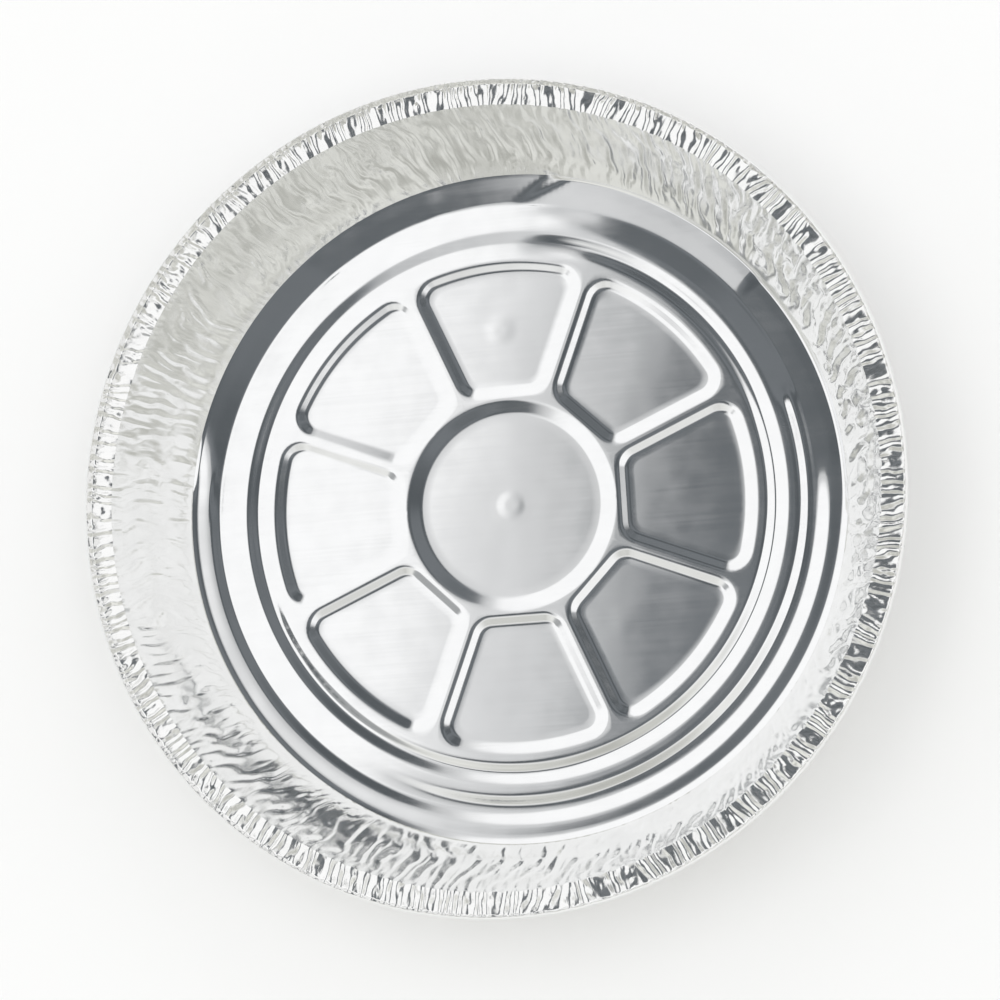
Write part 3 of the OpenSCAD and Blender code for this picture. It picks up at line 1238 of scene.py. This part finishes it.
@dataclass(frozen=True)
class LightTent:
    """A white tent round the tin with a dark strip overhead, which the foil mirrors.

    Directions are given in degrees from straight up, to the right and to the back.
    """

    white: Colour = (1.0, 1.0, 1.0, 1.0)
    front_bright: Colour = (0.86, 0.86, 0.82, 1.0)
    front_dim: Colour = (0.48, 0.48, 0.445, 1.0)
    front_fade: Pair = (-36.0, -12.0)
    strip_dark: Colour = (0.09, 0.1, 0.108, 1.0)
    strip_light: Colour = (0.165, 0.178, 0.19, 1.0)
    half_shade: float = 0.42
    strength: float = 1.07
    left_edge: float = -13.0
    left_half: Pair = (-3.9, -0.9)
    left_full: Pair = (0.6, 2.2)
    left_slant: float = 0.2
    front_slant: float = 0.5
    right_edge: float = 24.5
    right_soft: float = 2.5
    right_slant: float = 0.9
    right_from: float = 5.0
    front_edge: Pair = (-24.0, -12.0)
    back_edge: Pair = (47.0, 54.0)
    gap_side: Pair = (-37.0, -32.0)
    gap_end: Pair = (-53.0, -48.0)
    gap_front: Pair = (-36.0, -11.0)
    gap_soft: float = 5.0
    gap_shade: float = 0.7
    folds: float = 3.0
    strip_folds: float = 5.0

    def build(self) -> None:
        """Makes the world that lights the scene."""
        world = bpy.data.worlds.new("light tent")
        bpy.context.scene.world = world
        world.use_nodes = True
        tree = world.node_tree
        tree.nodes.clear()
        outward = place(tree, "ShaderNodeTexCoord").outputs["Generated"]
        split = place(tree, "ShaderNodeSeparateXYZ", {"Vector": outward})
        x, y, z = (Wire(s) for s in split.outputs)
        side = x.math("ARCTAN2", z).math("DEGREES")
        depth = y.math("ARCTAN2", z).math("DEGREES")
        lean = depth * self.left_slant + depth.math("MINIMUM", 0.0) * self.front_slant
        left = side - lean - self.left_edge
        inside = left.ramp(*self.left_half) * self.half_shade
        inside = inside + left.ramp(*self.left_full) * (1.0 - self.half_shade)
        turned = (depth - self.right_from).math("MINIMUM", 0.0) * self.right_slant
        right = side - self.right_edge - turned
        inside = inside * right.ramp(-self.right_soft, self.right_soft, 1.0, 0.0)
        inside = inside * depth.ramp(*self.front_edge) * depth.ramp(*self.back_edge, 1.0, 0.0)
        cloth = cloud(outward, self.folds, 2.0).ramp(-0.35, 0.35)
        front = mixed(cloth, self.front_dim, self.front_bright)
        tent = mixed(depth.ramp(*self.front_fade), front, self.white)
        sheen = cloud(outward, self.strip_folds, 1.0).ramp(-0.3, 0.3)
        strip = mixed(sheen, self.strip_dark, self.strip_light)
        gap = side.ramp(*self.gap_side, 1.0, 0.0) * side.ramp(*self.gap_end) * self.gap_shade
        gap = gap * depth.ramp(self.gap_front[0], self.gap_front[0] + self.gap_soft)
        gap = gap * depth.ramp(self.gap_front[1] - self.gap_soft, self.gap_front[1], 1.0, 0.0)
        seen = mixed(inside.math("MAXIMUM", gap), tent, strip)
        background = place(tree, "ShaderNodeBackground", {"Strength": self.strength, "Color": seen})
        out = tree.nodes.new("ShaderNodeOutputWorld")
        plug(out.inputs[0], background.outputs[0])


@dataclass(frozen=True)
class FloorLamp:
    """A broad lamp straight overhead that brightens the table and that the foil doesn't mirror."""

    strength: float = 0.85
    spread: float = 70.0

    def build(self) -> None:
        """Makes the lamp."""
        data = bpy.data.lights.new("floor_lamp", "SUN")
        data.energy = self.strength
        data.angle = math.radians(self.spread)
        lamp = bpy.data.objects.new("floor_lamp", data)
        bpy.context.collection.objects.link(lamp)
        lamp.visible_glossy = False


@dataclass(frozen=True)
class PaleFloor:
    """The plain pale table that the tin stands on."""

    reach: float = 4.0
    colour: Colour = (0.93, 0.93, 0.93, 1.0)
    roughness: float = 0.9
    shine: float = 0.1

    def build(self) -> None:
        """Makes the floor."""
        r = self.reach
        corners = np.array([(-r, -r, 0), (r, -r, 0), (r, r, 0), (-r, r, 0)])
        floor = new_object("floor", corners, [(0, 1, 2, 3)])
        material = bpy.data.materials.new("pale_floor")
        material.use_nodes = True
        shader = material.node_tree.nodes["Principled BSDF"]
        shader.inputs["Base Color"].default_value = self.colour
        shader.inputs["Roughness"].default_value = self.roughness
        shader.inputs["Specular IOR Level"].default_value = self.shine
        floor.data.materials.append(material)


@dataclass(frozen=True)
class PhotoCamera:
    """The camera at the photograph's place above the tin, turned to the tin's middle."""

    place: tuple[float, float, float] = (0.1676, -0.0922, 0.7320)
    aim: tuple[float, float, float] = (0.0, 0.0, 0.014)
    picture_up: tuple[float, float, float] = (0.0707, 0.9967, 0.0408)
    lens: float = 94.0

    def build(self) -> None:
        """Makes the camera and sets it as the scene's."""
        data = bpy.data.cameras.new("photo_camera")
        data.lens = self.lens
        data.sensor_width = 36.0
        data.clip_start, data.clip_end = 0.01, 50.0
        camera = bpy.data.objects.new("photo_camera", data)
        bpy.context.collection.objects.link(camera)
        back = (Vector(self.place) - Vector(self.aim)).normalized()
        right = Vector(self.picture_up).cross(back).normalized()
        up = back.cross(right)
        turn = Matrix((right, up, back)).transposed()
        camera.matrix_world = Matrix.Translation(self.place) @ turn.to_4x4()
        bpy.context.scene.camera = camera


@dataclass(frozen=True)
class Studio:
    """Floor, light and camera, and how the picture is developed."""

    tent: LightTent = LightTent()
    lamp: FloorLamp = FloorLamp()
    floor: PaleFloor = PaleFloor()
    camera: PhotoCamera = PhotoCamera()
    exposure: float = 0.0
    bounces: int = 12
    mirror_bounces: int = 8
    brightest_bounce: float = 6.0

    def build(self) -> None:
        """Makes the studio."""
        for part in (self.tent, self.lamp, self.floor, self.camera):
            part.build()
        scene = bpy.context.scene
        scene.view_settings.view_transform = "Standard"
        scene.view_settings.look = "None"
        scene.view_settings.exposure = self.exposure
        scene.cycles.max_bounces = self.bounces
        scene.cycles.glossy_bounces = self.mirror_bounces
        scene.cycles.sample_clamp_indirect = self.brightest_bounce
        scene.cycles.use_denoising = True


# --- Making the tin


def dress(piece: Object) -> None:
    """Makes a piece of the tin stand for the CAD node and ride with it.

    Args:
        piece: The finished piece.
    """
    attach(piece, BODY)
    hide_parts(NODE)
    piece.data.calc_loop_triangles()
    log.info("%s: %d triangles", piece.name, len(piece.data.loop_triangles))


def main() -> None:
    """Builds the tin and its studio, and reports each piece."""
    logging.basicConfig(level=logging.INFO, format="%(name)s: %(message)s")
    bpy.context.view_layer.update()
    sizes = TinSizes()
    materials = FoilMaterials()
    pieces = [PressedBottom(sizes, materials).build(), *GatheredSide(sizes, materials).build()]
    for piece in pieces:
        dress(piece)
    Studio().build()


if __name__ == "__main__":
    main()
